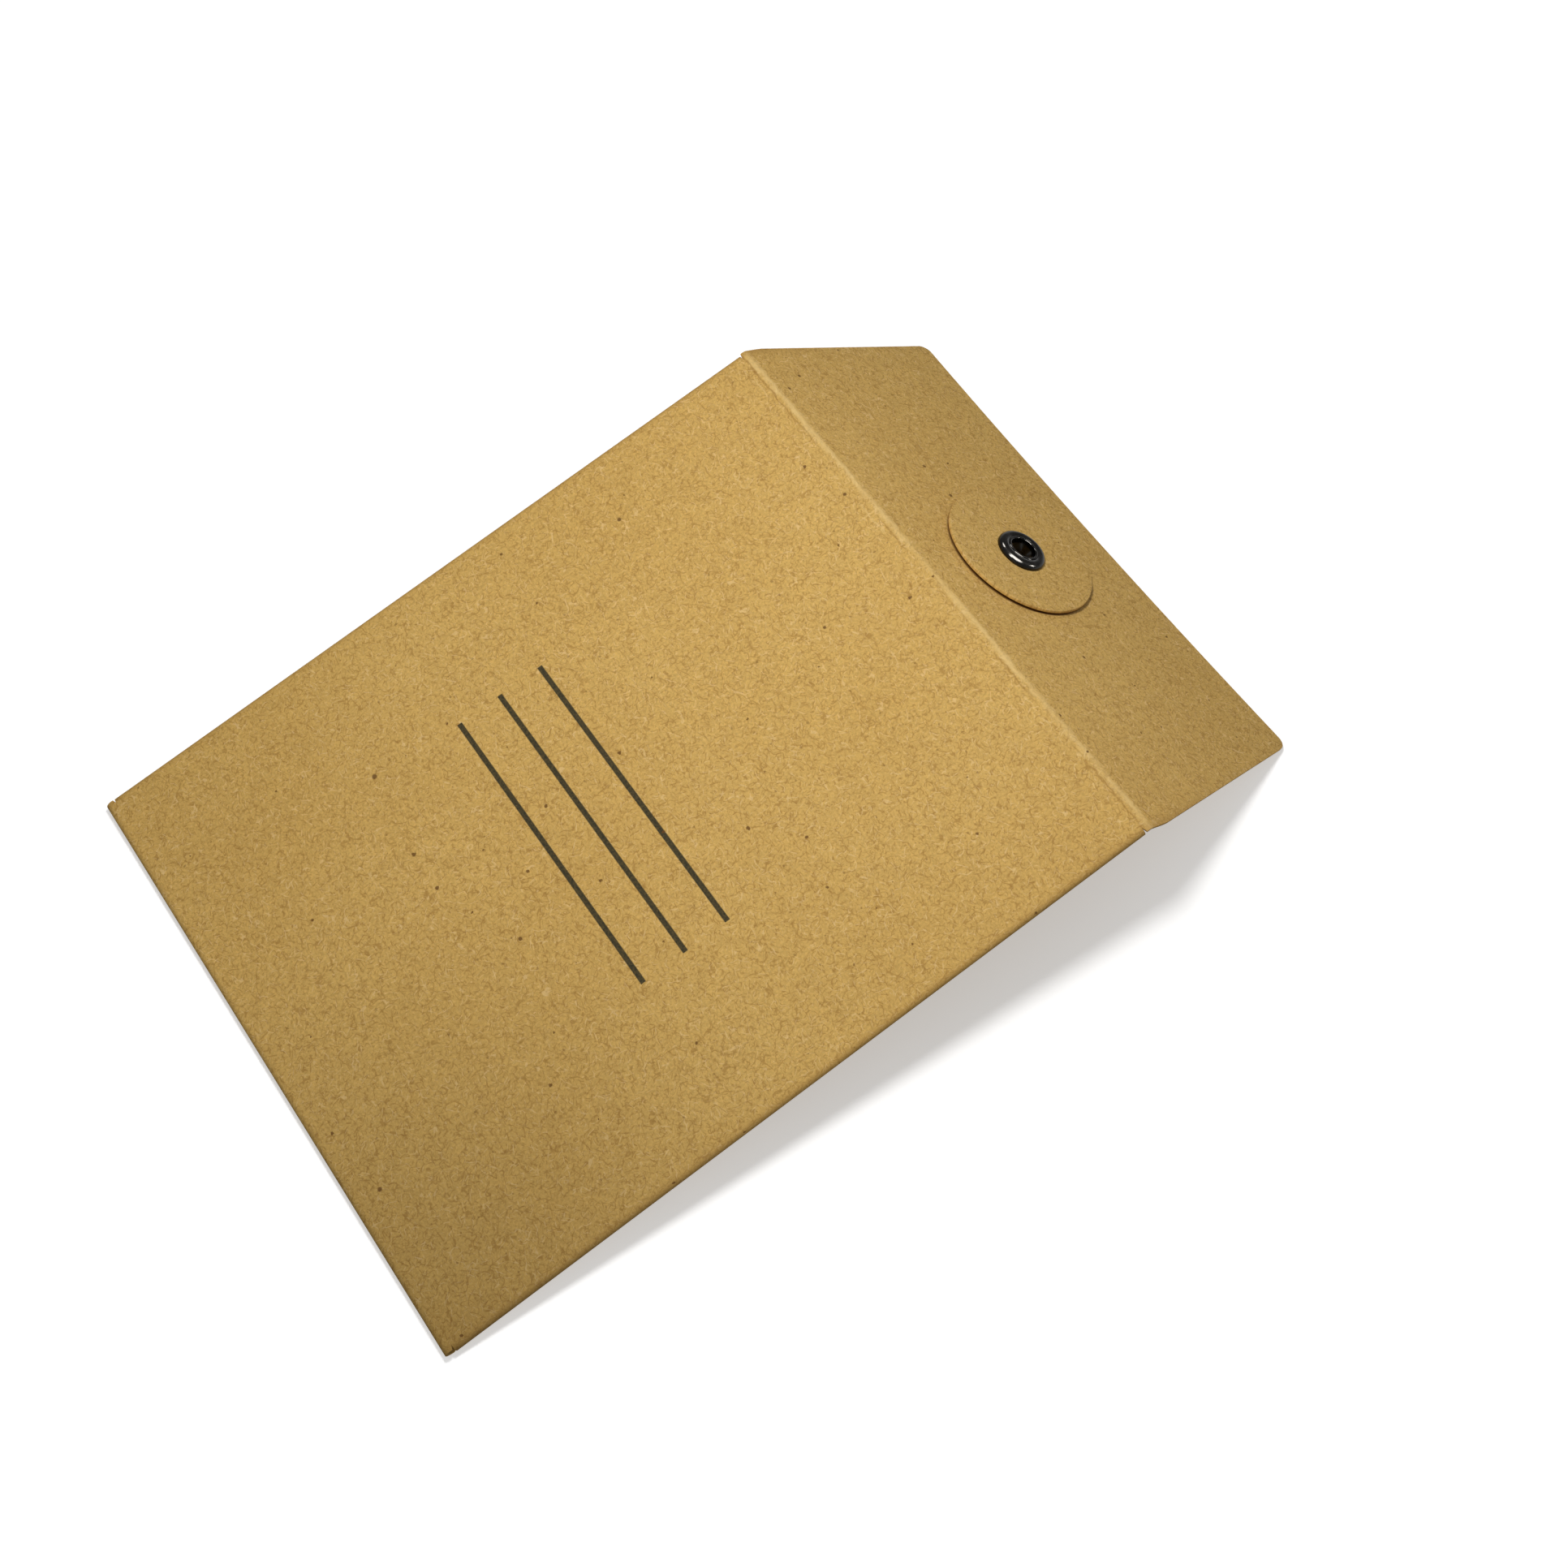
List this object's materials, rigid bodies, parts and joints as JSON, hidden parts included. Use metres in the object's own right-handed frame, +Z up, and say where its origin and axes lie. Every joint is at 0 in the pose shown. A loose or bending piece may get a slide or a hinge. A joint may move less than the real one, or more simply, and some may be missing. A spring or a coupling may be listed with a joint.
{
  "type": "string and button envelope",
  "caption": "Kraft card envelope, half open: a folded and glued pocket with a closing flap, and a round card button under a metal eyelet on the flap and on the back panel.",
  "frame": {"origin": "middle of the part's footprint, on the surface that it stands on", "axes": "+X across the envelope, along the flap's crease; +Y level, from the bottom fold to the flap's outer edge; +Z up"},
  "size_m": [0.1002, 0.1552, 0.0226],
  "materials": {
    "kraft_card": "uncoated kraft board, matt and fibrous",
    "button_card": "uncoated kraft board disc, matt",
    "black_nickel": "pressed steel, polished black nickel"
  },
  "bodies": {
    "root": {"envelope_sheet": "kraft_card", "flap_button": "button_card", "flap_eyelet": "black_nickel", "back_button": "button_card", "back_eyelet": "black_nickel"}
  },
  "joints": []
}
